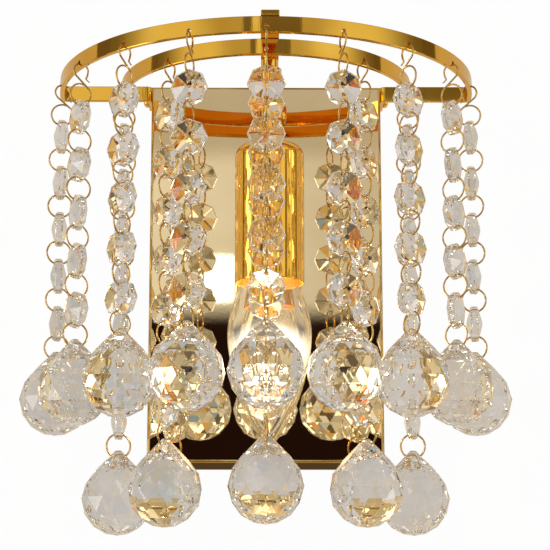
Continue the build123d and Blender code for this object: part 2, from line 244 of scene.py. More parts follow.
@dataclass(frozen=True)
class Plating(Look):
    """Polished plating on metal: a clean mirror with faint haze and polishing marks."""

    colour: Colour
    deep: Colour
    roughness: float
    haze: float
    ripple_mm: float = 0.0
    ripple_scale: float = 60.0
    mark_stretch: Point = (1.0, 1.0, 1.0)
    mark_scale: float = 900.0
    mark_depth_mm: float = 0.004

    def sockets(self, paint: Paint) -> dict[str, object]:
        """Haze the metal in clouds, and mark it where it was polished."""
        cloud = paint.noise(45.0, 4.0)
        marks = paint.noise(self.mark_scale, 2.0, self.mark_stretch)
        return {
            "Base Color": paint.mix(cloud.smooth(0.35, 0.7), self.deep, self.colour),
            "Metallic": 1.0,
            "Roughness": self.roughness + self.haze * cloud.smooth(0.45, 0.8) * marks,
            "Normal": paint.bump(marks, self.mark_depth_mm, self.undulation(paint)),
        }

    def undulation(self, paint: Paint) -> Value:
        """Give the normal of the metal under its polishing marks."""
        return paint.bump(paint.noise(self.ripple_scale, 1.0), self.ripple_mm)


@dataclass(frozen=True)
class PressedPlating(Plating):
    """Plating on a pressed sheet whose face leans and is very slightly hollow from top to bottom."""

    lean: float = 0.0367
    hollow: float = 0.0915

    def undulation(self, paint: Paint) -> Value:
        """Give the normal of the leaning sheet, with its ripple."""
        level = paint.along(paint.place(), "Z")
        slope = paint.bump(level * (self.lean - self.hollow * level), 1 / MM)
        return paint.bump(paint.noise(self.ripple_scale, 1.0), self.ripple_mm, slope)


@dataclass(frozen=True)
class CutCrystal(Look):
    """Clear lead crystal, with a warm and a cool tint painted on some facets as painted colour fire."""

    clear: Colour = (0.985, 0.975, 0.955)
    warm: Colour = (0.975, 0.90, 0.72)
    cool: Colour = (0.80, 0.89, 0.95)
    cell_scale: float = 230.0
    index: float = 1.52

    def sockets(self, paint: Paint) -> dict[str, object]:
        """Tint some of the facets, as painted colour fire."""
        warmth, coolness = paint.cells(paint.place(), self.cell_scale, 2)
        # Painted light: the warm and cool facets stand for the coloured fire that light brings out in cut
        # crystal.
        painted_fire = (warmth.smooth(0.72, 0.98), self.warm), (coolness.smooth(0.84, 0.99), self.cool)
        return {
            "Base Color": paint.layers(self.clear, *painted_fire),
            "Roughness": 0.0,
            "IOR": self.index,
            "Transmission Weight": 1.0,
        }


@dataclass(frozen=True)
class BulbGlass(Look):
    """Thin clear glass with a warm tint painted at its edges, a painted reflection, and the filament's glare
    painted on it as emission beside the wire.
    """

    colour: Colour = (1.0, 0.985, 0.95)
    # The warm edge colour is a painted reflection.
    edge: Colour = (0.95, 0.87, 0.68)
    # The glow is painted glare, given off by the glass itself.
    glow: Colour = (1.0, 0.90, 0.72)
    glow_level: float = -0.111
    glow_reach: float = 0.0135
    glow_falloff: float = 9.0
    glow_strength: float = 5.0

    def sockets(self, paint: Paint) -> dict[str, object]:
        """Paint the edges warm as a reflection, and paint glare as emission where the glass is level with the
        wire and faces the eye.
        """
        away = (paint.along(paint.place(), "Z") - self.glow_level).math("ABSOLUTE")
        near = 1.0 - away.smooth(0.0, self.glow_reach)
        deep = 1.0 - paint.add("LayerWeight", {"Blend": 0.5}, "Facing")
        lit = near * near * deep.math("POWER", self.glow_falloff)
        facing = paint.add("LayerWeight", {"Blend": 0.35}, "Facing")
        return {
            "Base Color": paint.mix(facing.smooth(0.35, 0.95), self.colour, self.edge),
            "Roughness": 0.0,
            "IOR": 1.47,
            "Transmission Weight": 1.0,
            # Painted glare: the glass emits light near the filament's level where it faces the eye.
            "Emission Color": paint.mix(lit, (0.0, 0.0, 0.0), self.glow),
            "Emission Strength": self.glow_strength,
            "Normal": paint.bump(paint.noise(120.0, 2.0, (1.0, 1.0, 0.3)), 0.01),
        }


@dataclass(frozen=True)
class Moulded(Look):
    """Plain moulded plastic with a fine satin skin."""

    colour: Colour
    shade: Colour
    roughness: float = 0.42

    def sockets(self, paint: Paint) -> dict[str, object]:
        """Cloud the colour a little, and grain the skin."""
        skin = paint.noise(3500.0, 2.0)
        return {
            "Base Color": paint.mix(paint.noise(70.0, 3.0), self.shade, self.colour),
            "Roughness": self.roughness + 0.12 * skin,
            "Normal": paint.bump(skin, 0.01),
        }


@dataclass(frozen=True)
class Glow(Look):
    """White-hot filament wire."""

    colour: Colour = (1.0, 0.84, 0.58)
    core: Colour = (1.0, 0.95, 0.86)
    strength: float = 90.0

    def sockets(self, paint: Paint) -> dict[str, object]:
        """Heat the wire's coils unevenly."""
        coils = paint.noise(1400.0, 1.0)
        heat = paint.mix(coils, self.colour, self.core)
        return {
            "Base Color": heat,
            "Roughness": 0.5 + 0.2 * coils,
            "Emission Color": heat,
            "Emission Strength": self.strength,
        }


class Finish(Enum):
    """Every finish of the sconce."""

    STRIP = Plating(
        "gilt_strip", "gilt", (0.82, 0.49, 0.075), (0.75, 0.42, 0.05), 0.05, 0.05, 0.01,
        mark_stretch=(2.2, 2.2, 0.12), mark_depth_mm=0.006,
    )
    PAN = PressedPlating(
        "gilt_pan", "gilt", (0.85, 0.71, 0.45), (0.81, 0.66, 0.40), 0.02, 0.03, 0.05, 22.0,
        mark_depth_mm=0.001,
    )
    # A darker copy of the pan's gilt for its rolled edge and underside: painted shade.
    RIM_SHADE = Plating("gilt_rim_painted_shade", "gilt", (0.62, 0.42, 0.12), (0.50, 0.32, 0.08), 0.06, 0.05)
    TUBE = Plating("gilt_tube", "gilt", (0.93, 0.55, 0.09), (0.90, 0.49, 0.065), 0.05, 0.04)
    INSIDE = Plating("gilt_inside", "gilt", (0.90, 0.50, 0.12), (0.84, 0.42, 0.08), 0.38, 0.1)
    WIRE = Plating("gilt_wire", "wire", (0.76, 0.53, 0.19), (0.56, 0.36, 0.10), 0.12, 0.08)
    ZINC = Plating("zinc_plate", "zinc", (0.66, 0.67, 0.69), (0.55, 0.57, 0.60), 0.28, 0.2)
    CAP = Plating("lamp_cap", "cap_metal", (0.78, 0.76, 0.72), (0.66, 0.64, 0.60), 0.22, 0.15)
    BRASS = Plating(
        "contact_brass", "contact_brass", (0.78, 0.62, 0.34), (0.66, 0.50, 0.24), 0.25, 0.15
    )
    CRYSTAL = CutCrystal("cut_crystal", "crystal")
    BULB = BulbGlass("bulb_glass", "bulb_glass")
    HOLDER = Moulded("holder_plastic", "holder_plastic", (0.80, 0.78, 0.72), (0.72, 0.69, 0.62))
    BLOCK = Moulded(
        "terminal_plastic", "terminal_plastic", (0.84, 0.84, 0.82), (0.76, 0.76, 0.73), 0.35
    )
    FILAMENT = Glow("hot_filament", "filament")

    @cache
    def material(self) -> bpy.types.Material:
        """Give the finish's material, made when it is first asked for."""
        return self.value.make()


# The workbench: modelling moves ------------------------------------------------------------------


def put_down() -> None:
    """Leave edit mode and select nothing."""
    if bpy.context.object and bpy.context.object.mode != "OBJECT":
        bpy.ops.object.mode_set(mode="OBJECT")
    bpy.ops.object.select_all(action="DESELECT")


def take_up(piece: Piece) -> None:
    """Select one piece alone and make it active."""
    put_down()
    piece.select_set(True)
    bpy.context.view_layer.objects.active = piece


@contextmanager
def editing(piece: Piece, mode: str = "FACE") -> Iterator[None]:
    """Open a piece in edit mode with all of it selected, and close it afterwards.

    Args:
        piece: what to edit.
        mode: VERT, EDGE or FACE.

    Yields:
        Nothing; the piece is in edit mode meanwhile.
    """
    take_up(piece)
    bpy.ops.object.mode_set(mode="EDIT")
    bpy.ops.mesh.select_mode(type=mode)
    bpy.ops.mesh.select_all(action="SELECT")
    yield
    bpy.ops.object.mode_set(mode="OBJECT")


def pick(piece: Piece, kind: str, test: Callable[[object], bool]) -> None:
    """Select what passes a test, in a piece that is being edited in that mode.

    Args:
        piece: what is being edited.
        kind: verts, edges or faces.
        test: takes one of them.
    """
    bpy.ops.mesh.select_all(action="DESELECT")
    mesh = bmesh.from_edit_mesh(piece.data)
    for element in getattr(mesh, kind):
        element.select_set(test(element))
    bmesh.update_edit_mesh(piece.data)


def ends(edge: bmesh.types.BMEdge) -> tuple[Vector, Vector]:
    """Give an edge's two ends in millimetres."""
    return edge.verts[0].co / MM, edge.verts[1].co / MM


def pull(by: Sequence[float]) -> None:
    """Extrude what is selected."""
    bpy.ops.mesh.extrude_region_move(TRANSFORM_OT_translate={"value": Vector(by) * MM})


def spin(steps: int, angle: float, middle: Point, axis: Point = (0, 0, 1)) -> None:
    """Spin what is selected by an angle in degrees."""
    bpy.ops.mesh.spin(steps=steps, angle=radians(angle), center=Vector(middle) * MM, axis=axis)


def fill_outline() -> None:
    """Fill the outline that is selected, and select its face."""
    bpy.ops.mesh.edge_face_add()
    bpy.ops.mesh.select_mode(type="FACE")
    bpy.ops.mesh.select_all(action="SELECT")


def close_holes(piece: Piece, sides: int) -> None:
    """Fill a piece's holes of up to so many sides, and turn its faces outwards."""
    with editing(piece):
        bpy.ops.mesh.fill_holes(sides=sides)
        bpy.ops.mesh.normals_make_consistent(inside=False)


def true_up(piece: Piece) -> None:
    """Merge doubles and turn every face outwards."""
    with editing(piece, "VERT"):
        bpy.ops.mesh.remove_doubles(threshold=2e-6)
        bpy.ops.mesh.normals_make_consistent(inside=False)


def settled() -> Piece:
    """Put the place of the primitive just added into its mesh, and give it."""
    bpy.ops.object.transform_apply(location=True, rotation=True, scale=True)
    return bpy.context.object


def block(low: Point, high: Point) -> Piece:
    """Add a block.

    Args:
        low: its lowest corner.
        high: its highest corner.

    Returns:
        The block.
    """
    put_down()
    middle = [(a + b) / 2 * MM for a, b in zip(low, high)]
    size = [(b - a) * MM for a, b in zip(low, high)]
    bpy.ops.mesh.primitive_cube_add(size=1, location=middle, scale=size)
    return settled()


def disc(
    sides: int, radius: float, middle: Sequence[float] = (0, 0, 0), tilt: float = 0.0, filled: bool = False
) -> Piece:
    """Add a circle.

    Args:
        sides: how many corners it has.
        radius: its radius to a corner.
        middle: its middle.
        tilt: its rotation about X in degrees.
        filled: whether it is a face.

    Returns:
        The circle.
    """
    put_down()
    bpy.ops.mesh.primitive_circle_add(
        vertices=sides, radius=radius * MM, fill_type="NGON" if filled else "NOTHING",
        location=Vector(middle) * MM, rotation=(radians(tilt), 0, 0),
    )
    return settled()


def peg(sides: int, radius: float, start: Point, end: Point, across: float = 1.0) -> Piece:
    """Add a cylinder between two points.

    Args:
        sides: how many sides it has.
        radius: its radius.
        start: the middle of one end.
        end: the middle of the other.
        across: how much wider it is on its second axis.

    Returns:
        The cylinder.
    """
    put_down()
    first, last = Vector(start) * MM, Vector(end) * MM
    run = last - first
    bpy.ops.mesh.primitive_cylinder_add(
        vertices=sides, radius=radius * MM, depth=run.length, location=(first + last) / 2,
        rotation=run.to_track_quat("Z", "Y").to_euler(), scale=(1.0, across, 1.0),
    )
    return settled()


def drawn(points: Sequence[Point], closed: bool = True) -> Piece:
    """Draw an outline by pulling one vertex from point to point.

    Args:
        points: the outline's corners.
        closed: whether the last corner is joined to the first.

    Returns:
        The outline.
    """
    put_down()
    bpy.ops.mesh.primitive_plane_add(size=MM, location=Vector(points[0]) * MM)
    piece = settled()
    with editing(piece, "VERT"):
        bpy.ops.mesh.merge(type="CENTER")
        for before, after in zip(points, points[1:]):
            step = (Vector(after) - Vector(before)) * MM
            bpy.ops.mesh.extrude_vertices_move(TRANSFORM_OT_translate={"value": step})
        if closed:
            pick(piece, "verts", lambda vertex: len(vertex.link_edges) == 1)
            bpy.ops.mesh.edge_face_add()
    return piece


def drawn_solid(points: Sequence[Point], by: Point) -> Piece:
    """Draw an outline, fill it and pull it into a solid.

    Args:
        points: the outline's corners.
        by: how far and which way it is pulled.

    Returns:
        The solid.
    """
    piece = drawn(points)
    with editing(piece, "EDGE"):
        fill_outline()
        pull(by)
    true_up(piece)
    return piece


def turned(
    profile: Profile, middle: tuple[float, float] = (0, 0), steps: int = 48, closed: bool = True
) -> Piece:
    """Turn a profile about an upright axis.

    Args:
        profile: (radius, level) pairs.
        middle: the axis's x and y.
        steps: how many sides the turned piece has.
        closed: whether the profile is a closed outline; an open one starts and ends on the axis.

    Returns:
        The turned piece.
    """
    x, y = middle
    piece = drawn([(x + radius, y, level) for radius, level in profile], closed)
    with editing(piece, "VERT"):
        spin(steps, 360, (x, y, 0))
    true_up(piece)
    return piece


def arc(middle: tuple[float, float], radius: float, start: float, end: float, steps: int) -> Profile:
    """Give the points of an arc.

    Args:
        middle: its centre.
        radius: its radius.
        start: the first point's angle in degrees.
        end: the last point's angle.
        steps: how many chords it has.

    Returns:
        The points.
    """
    turns = [radians(start + (end - start) * step / steps) for step in range(steps + 1)]
    return [(middle[0] + radius * cos(turn), middle[1] + radius * sin(turn)) for turn in turns]


def ridges(count: int, top: float, pitch: float, outline: Profile) -> Profile:
    """Repeat a short outline of (radius, drop) pairs down a profile."""
    return [(radius, top - pitch * turn - drop) for turn in range(count) for radius, drop in outline]


def apply_modifier(piece: Piece, kind: str, **settings: object) -> None:
    """Add a modifier with these settings and apply it."""
    take_up(piece)
    modifier = piece.modifiers.new(kind.lower(), kind)
    for name, value in settings.items():
        setattr(modifier, name, value)
    bpy.ops.object.modifier_apply(modifier=modifier.name)


def cut(piece: Piece, tools: Sequence[Piece]) -> None:
    """Cut tools out of a piece and throw them away."""
    for tool in tools:
        apply_modifier(piece, "BOOLEAN", operation="DIFFERENCE", object=tool, solver="EXACT")
        bpy.data.objects.remove(tool, do_unlink=True)


def bevel(piece: Piece, width: float, segments: int, angle: float, corners: str) -> None:
    """Round a piece's hard edges.

    Args:
        piece: what to round.
        width: how wide the rounding is.
        segments: how many facets it has.
        angle: edges sharper than this are rounded, in degrees.
        corners: how it turns a corner.
    """
    apply_modifier(
        piece, "BEVEL", width=width * MM, segments=segments, limit_method="ANGLE",
        angle_limit=radians(angle), miter_outer=corners,
    )


def shade(piece: Piece, angle: float = 50.0) -> None:
    """Shade smooth below an angle, with flats that keep their own normals."""
    take_up(piece)
    bpy.ops.object.shade_smooth_by_angle(angle=radians(angle))
    apply_modifier(piece, "WEIGHTED_NORMAL", keep_sharp=True, weight=100)


def soften(piece: Piece, width: float, segments: int = 2, angle: float = 35.0) -> None:
    """Round a piece's hard edges, and shade it so that its flats stay flat."""
    bevel(piece, width, segments, angle, "MITER_ARC")
    shade(piece)


def screw(profile: Profile, steps: int, cross: Point) -> Piece:
    """Turn a screw whose head is on top, and cut a cross into it.

    Args:
        profile: (radius, level) pairs from the top down.
        steps: how many sides it has.
        cross: the slots' half length, their half width and the level of their floor.

    Returns:
        The screw.
    """
    length, width, floor = cross
    piece = turned(profile, steps=steps, closed=False)
    cut(piece, [block((-x, -y, floor), (x, y, 3)) for x, y in ((length, width), (width, length))])
    return piece


def copy_of(master: Piece, place: Matrix) -> Piece:
    """Copy a master piece with its own mesh, put in its place."""
    mesh = master.data.copy()
    mesh.transform(place)
    twin = bpy.data.objects.new(master.name, mesh)
    bpy.context.scene.collection.objects.link(twin)
    return twin


def joined(pieces: Sequence[Piece]) -> Piece:
    """Join pieces into one object."""
    put_down()
    for piece in pieces:
        piece.select_set(True)
    bpy.context.view_layer.objects.active = pieces[0]
    bpy.ops.object.join()
    return pieces[0]


def upright_to(place: Point, along: Point) -> Matrix:
    """Give the matrix that carries a piece made on +Z to a place and a direction."""
    turn = Vector(along).to_track_quat("Z", "Y").to_matrix().to_4x4()
    return Matrix.Translation(Vector(place) * MM) @ turn


# Sub-assemblies ----------------------------------------------------------------------------------


class Assembly:
    """What every sub-assembly shares: how its pieces are dressed."""

    def dress(self, piece: Piece, name: str, finish: Finish, node: str, body: str = "sconce") -> None:
        """Give a piece its name and finish, hide the solid that it stands for and hang it on its body.

        Args:
            piece: the finished piece.
            name: the piece's name.
            finish: its finish.
            node: the solid that it stands for.
            body: the body that it rides on.
        """
        piece.name = piece.data.name = name
        piece.data.materials.append(finish.material())
        nodes, slot = (node,), finish.value.slot
        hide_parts(*nodes)
        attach(piece, body)
        log.info("%s: %d faces on %s", name, len(piece.data.polygons), body)

    def repaint(self, node: str, finish: Finish) -> None:
        """Give a carried-over solid its finish."""
        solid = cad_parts[node]
        solid.data.materials.clear()
        solid.data.materials.append(finish.material())
        log.info("%s: kept solid in %s", node, finish.name.lower())


@dataclass(frozen=True)
class HangingFrame(Assembly):
    """The two half rings, the back bars and the centre arm."""

    height: float = 6.8
    low: float = STRIP_TOP - height
    thick: float = 2.0
    edge: float = 0.35
    outer: float = 90.0
    inner: float = 63.3
    tail: float = 2.0
    hook_bore: float = 1.0
    bar_start: float = PLATE_SIDE
    flange: float = 15.0
    bend: float = 2.5
    arm_side: tuple[float, float] = (-2.2, 5.2)
    arm_thick: float = 2.3
    arm_end: float = 112.0
    arm_edge: float = 0.4
    arm_bore: float = 2.2
    foot_bore: float = 2.05
    foot_bottom: float = 3.0

    def build(self) -> None:
        """Make and dress every piece."""
        self.ring("outer_ring", self.outer, self.tail, OUTER_ANGLES)
        self.ring("inner_ring", self.inner, 0.0, INNER_ANGLES)
        self.bar("right", 1)
        self.bar("left", -1)
        self.arm()

    def ring(self, node: str, radius: float, tail: float, angles: Sequence[int]) -> None:
        """Roll a half ring of strip and punch its hook holes.

        Args:
            node: the solid that it stands for.
            radius: the outside radius.
            tail: length of the straight run towards the wall.
            angles: where the hook holes are, from straight ahead.
        """
        inside = radius - self.thick
        corners = ((inside, self.low), (radius, self.low), (radius, STRIP_TOP), (inside, STRIP_TOP))
        piece = drawn([(x, tail - REACH, z) for x, z in corners])
        with editing(piece, "EDGE"):
            fill_outline()
            if tail:
                pull((0, -tail, 0))
            spin(96, 180, (0, -REACH, 0))
            if tail:
                pull((0, tail, 0))
        true_up(piece)
        with editing(piece):
            bpy.ops.mesh.select_all(action="DESELECT")
            bpy.ops.mesh.select_interior_faces()
            bpy.ops.mesh.delete(type="FACE")
        close_holes(piece, 8)
        bevel(piece, self.edge, 3, 40, "MITER_SHARP")
        centre = Vector((0, -REACH, HOLE_LEVEL))
        outwards = [Vector((sin(radians(angle)), -cos(radians(angle)), 0)) for angle in angles]
        cut(piece, [
            peg(16, self.hook_bore, centre + out * (radius - 4), centre + out * (radius + 2))
            for out in outwards
        ])
        shade(piece)
        self.dress(piece, f"{node}_strip", Finish.STRIP, node)

    def bar(self, word: str, side: int) -> None:
        """Bend a back bar, with its flange along the plate's side.

        Args:
            word: the side's name.
            side: 1 for the right, -1 for the left.
        """
        start, end = self.bar_start, self.outer - self.thick
        bend = (start + self.bend, self.bend - REACH)
        corners = [
            (start, self.flange - REACH), *arc(bend, self.bend, 180, 270, 6),
            (end, -REACH), (end, self.thick - REACH), *arc(bend, self.bend - self.thick, 270, 180, 3),
            (start + self.thick, self.flange - REACH),
        ]
        piece = drawn_solid([(side * x, y, self.low) for x, y in corners], (0, 0, self.height))
        near, far = ((side * x, -SCREW_DEPTH, HOLE_LEVEL) for x in (start - 1, start + 4))
        cut(piece, [peg(16, SCREW_BORE, near, far)])
        soften(piece, self.edge, 3)
        self.dress(piece, f"{word}_bar_strip", Finish.STRIP, f"{word}_back_bar")

    def arm(self) -> None:
        """Bend the centre arm down at the plate and drill it."""
        top, front, back = STRIP_TOP + self.arm_thick, -self.arm_end, -PLATE_DEPTH
        inside = back - self.arm_thick
        corners = [
            (front, STRIP_TOP), (front, top), *arc((inside, STRIP_TOP), self.arm_thick, 90, 0, 6),
            (back, self.foot_bottom), (inside, self.foot_bottom), (inside, STRIP_TOP),
        ]
        left, right = self.arm_side
        piece = drawn_solid([(left, y, z) for y, z in corners], (right - left, 0, 0))
        x, y = LAMP
        cut(piece, [
            peg(20, self.arm_bore, (x, y, STRIP_TOP - 2), (x, y, top + 2)),
            peg(20, self.foot_bore, (x, back - 5, FOOT_LEVEL), (x, back + 2, FOOT_LEVEL)),
        ])
        soften(piece, self.arm_edge, 3)
        self.dress(piece, "centre_arm_strip", Finish.STRIP, "centre_arm")


@dataclass(frozen=True)
class BackPlate(Assembly):
    """The mirror-polished pan, the wall bracket behind it, its screws and the terminal block."""

    top: float = 13.5
    bottom: float = -151.5
    wall: float = 1.2
    edge: float = 1.3
    corner: float = 0.6
    foot_bore: float = 2.2
    feed_bore: float = 3.2
    head: Profile = ((0, 2.2), (1.4, 2.1), (2.3, 1.75), (2.85, 1.1), (3.0, 0.5), (3.0, 0.0), (1.5, 0.0))
    thread: Profile = ((1.5, 0.0), (1.25, 0.4))

    def build(self) -> None:
        """Make and dress every piece."""
        self.pan()
        self.screws()
        self.terminal()
        self.repaint("wall_bracket", Finish.ZINC)

    def pan(self) -> None:
        """Press the shallow pan: open at the wall, with its rolled front edge and underside in a darker gilt,
        which is painted shade.
        """
        piece = block((-PLATE_SIDE, -PLATE_DEPTH, self.bottom), (PLATE_SIDE, 0, self.top))
        with editing(piece):
            pick(piece, "faces", lambda face: face.normal.y > 0.9)
            bpy.ops.mesh.delete(type="FACE")
            bpy.ops.mesh.select_mode(type="EDGE")
            pick(piece, "edges", lambda edge: all(end.y < -1 for end in ends(edge)))
            bpy.ops.mesh.bevel(offset=self.edge * MM, segments=6, affect="EDGES")
            pick(piece, "edges", self.is_corner)
            bpy.ops.mesh.bevel(offset=self.corner * MM, segments=3, affect="EDGES")
        true_up(piece)
        apply_modifier(piece, "SOLIDIFY", thickness=self.wall * MM, offset=-1.0)
        x, outside, inside = LAMP[0], -PLATE_DEPTH - 3, -PLATE_DEPTH + 4
        drills = [
            peg(20, bore, (x, outside, level), (x, inside, level))
            for bore, level in ((self.foot_bore, FOOT_LEVEL), (self.feed_bore, FEED_LEVEL))
        ]
        left, right = ((side * (PLATE_SIDE + 3), -SCREW_DEPTH, HOLE_LEVEL) for side in (-1, 1))
        cut(piece, [*drills, peg(16, SCREW_BORE, left, right)])
        shade(piece, 40)
        self.dress(piece, "backplate_pan", Finish.PAN, "backplate")
        # The rolled edge and the underside take the darker gilt: painted shade.
        piece.data.materials.append(Finish.RIM_SHADE.material())
        for face in piece.data.polygons:
            rolled = -0.98 < face.normal.y < -0.02
            underside = face.normal.z < -0.5 and face.normal.y < 0.02
            face.material_index = int(rolled or underside)

    @staticmethod
    def is_corner(edge: bmesh.types.BMEdge) -> bool:
        """Tell whether an edge runs from the wall to the front at the pan's side."""
        a, b = ends(edge)
        return abs((a - b).y) > PLATE_DEPTH / 2 and abs(a.x) > PLATE_SIDE - 1

    def screws(self) -> None:
        """Turn the two pan-head screws and cut their cross slots."""
        profile = [*self.head, *ridges(9, -0.6, 0.8, self.thread), (0.9, -8.0), (0, -8.0)]
        made = []
        for side in (1, -1):
            piece = screw(profile, 28, (1.6, 0.3, 1.2))
            place = (side * (PLATE_SIDE + 2), -SCREW_DEPTH, HOLE_LEVEL)
            piece.data.transform(upright_to(place, (side, 0, 0)))
            made.append(piece)
        pair = joined(made)
        shade(pair, 40)
        self.dress(pair, "side_screw_pair", Finish.TUBE, "side_screws")

    def terminal(self) -> None:
        """Mould the terminal block with its wire entries and the slot between them."""
        body = block((-9, -13, -7), (9, -2, 7))
        entries = [block((x - 3, -16, -3.5), (x + 3, -11, 3.5)) for x in (-4.5, 4.5)]
        cut(body, [*entries, block((-0.4, -16, -8), (0.4, -12, 8))])
        soften(body, 0.4)
        self.dress(body, "terminal_body", Finish.BLOCK, "terminal_block")


@dataclass(frozen=True)
class LampHanger(Assembly):
    """The tube that hangs from the arm, its side feed, the candle sleeve and the lamp holder."""

    sleeve_top: float = -22.7
    sleeve_bottom: float = -81.5
    sleeve_radius: float = 14.35
    sleeve_wall: float = 1.0
    sleeve_bore: float = 5.2
    shoulder: float = 5.0
    feed_length: float = 39.2
    neck: Profile = (
        (2.05, 15.0), (3.2, 15.0), (3.5, 14.7), (3.5, 11.3), (4.6, 11.0), (5.0, 10.6), (5.0, -31.7),
        (3.0, -31.7), (3.0, 7.0), (2.05, 7.0),
    )
    collar: Profile = ((5.05, -6.2), (7.3, -6.2), (8.08, -6.75), (8.08, -12.05), (7.3, -12.6), (5.05, -12.6))
    lip: Profile = ((0.0, 0.5), (0.2, 0.1), (0.5, 0.0), (0.8, 0.1), (1.0, 0.5))  # inwards, up
    holder_head: Profile = (
        (0, -31.7), (5.05, -31.7), (5.05, -23.7), (7.6, -23.7), (8.2, -24.2), (11.2, -29.2), (11.5, -30.0),
    )
    holder_foot: Profile = ((11.5, -68.7), (11.1, -69.2), (8.2, -69.2), (7.9, -68.8), (7.9, -43.2), (0, -43.2))
    groove: Profile = ((11.5, 0.0), (11.2, 0.5), (11.2, 1.3), (11.5, 1.8))
    contact: Profile = ((0, -43.2), (3.0, -43.2), (3.0, -44.0), (2.4, -44.7), (0, -44.7))
    contact_thread: Profile = ((7.84, 0.0), (7.6, 1.4))
    head: Profile = ((0, 2.4), (1.6, 2.25), (2.7, 1.8), (3.3, 1.1), (3.5, 0.4), (3.5, 0.0), (2.0, 0.0))
    nut: Profile = ((3.05, 0.0), (5.2, 0.0), (5.77, 0.35), (5.77, 2.85), (5.2, 3.2), (3.05, 3.2))

    def build(self) -> None:
        """Make and dress every piece."""
        self.hanger()
        self.side_feed()
        self.sleeve()
        self.holder()
        self.contacts()
        self.fixings()

    def hanger(self) -> None:
        """Turn the hanger: a neck, a shoulder and a tube with a bore."""
        tube = turned(self.neck, LAMP, 40)
        shade(tube, 40)
        self.dress(tube, "hanger_tube_round", Finish.TUBE, "hanger_tube")

    def side_feed(self) -> None:
        """Make the six-sided collar and the tube that leads from it into the plate."""
        x, y = LAMP
        sixth = Matrix.Rotation(radians(30), 4, "Z")
        collar = turned(self.collar, steps=6)
        collar.data.transform(Matrix.Translation((x * MM, y * MM, 0)) @ sixth)
        soften(collar, 0.25)
        tube = turned([(2.0, 5.0), (3.0, 5.0), (3.0, self.feed_length), (2.0, self.feed_length)], steps=28)
        tube.data.transform(upright_to((x, y, FEED_LEVEL), (0, 1, 0)))
        shade(tube, 40)
        self.dress(joined([collar, tube]), "lamp_arm_feed", Finish.TUBE, "lamp_arm")

    def sleeve(self) -> None:
        """Draw the candle sleeve, with a rounded shoulder, a turned-in lip and a duller inside."""
        rim, curve, wall = self.sleeve_radius, self.shoulder, self.sleeve_wall
        centre = (rim - curve, self.sleeve_top - curve)
        profile = [
            (self.sleeve_bore, self.sleeve_top),
            *arc(centre, curve, 90, 0, 9),
            *[(rim - inwards, self.sleeve_bottom + up) for inwards, up in self.lip],
            *arc(centre, curve - wall, 0, 90, 9),
            (self.sleeve_bore, self.sleeve_top - wall),
        ]
        piece = turned(profile, LAMP, 72)
        shade(piece, 40)
        self.dress(piece, "candle_sleeve_tube", Finish.TUBE, "candle_sleeve")
        piece.data.materials.append(Finish.INSIDE.material())
        axis = Vector((*LAMP, 0.0)) * MM
        for face in piece.data.polygons:
            out = (face.center - axis) * Vector((1, 1, 0))
            face.material_index = int(face.normal.dot(out) < 0)

    def holder(self) -> None:
        """Mould the lamp holder with a grooved skirt."""
        profile = [*self.holder_head, *ridges(6, -34.0, 5.4, self.groove), *self.holder_foot]
        piece = turned(profile, LAMP, 40, closed=False)
        shade(piece, 40)
        self.dress(piece, "lamp_holder_shell", Finish.HOLDER, "lamp_holder")

    def contacts(self) -> None:
        """Roll the thread shell and press the centre contact."""
        thread = ridges(6, -51.4, 2.8, self.contact_thread)
        shell = turned([(7.25, -50.2), (7.8, -50.2), *thread, (7.8, -68.2), (7.25, -68.2)], LAMP, 36)
        both = joined([shell, turned(self.contact, LAMP, 24, closed=False)])
        shade(both, 40)
        self.dress(both, "holder_contact_set", Finish.BRASS, "holder_contacts")

    def fixings(self) -> None:
        """Make the arm's two screws and the side tube's two nuts."""
        x, y = LAMP
        front, back = -23.8, -28.2  # the nuts, on both sides of the plate
        pieces = []
        for place, along, shank in (((x, y, 17.3), (0, 0, 1), 6.0), ((x, front, FOOT_LEVEL), (0, 1, 0), 3.5)):
            piece = screw([*self.head, (2.0, 0.4 - shank), (1.6, -shank), (0, -shank)], 32, (1.9, 0.35, 1.3))
            piece.data.transform(upright_to(place, along))
            pieces.append(piece)
        for depth in (front, back):
            nut = turned(self.nut, steps=6)
            turn = Matrix.Rotation(radians(30), 4, "Z")
            nut.data.transform(upright_to((x, depth, FEED_LEVEL), (0, 1, 0)) @ turn)
            pieces.append(nut)
        group = joined(pieces)
        soften(group, 0.15, 2, 45)
        self.dress(group, "arm_fixing_set", Finish.TUBE, "arm_fixings")


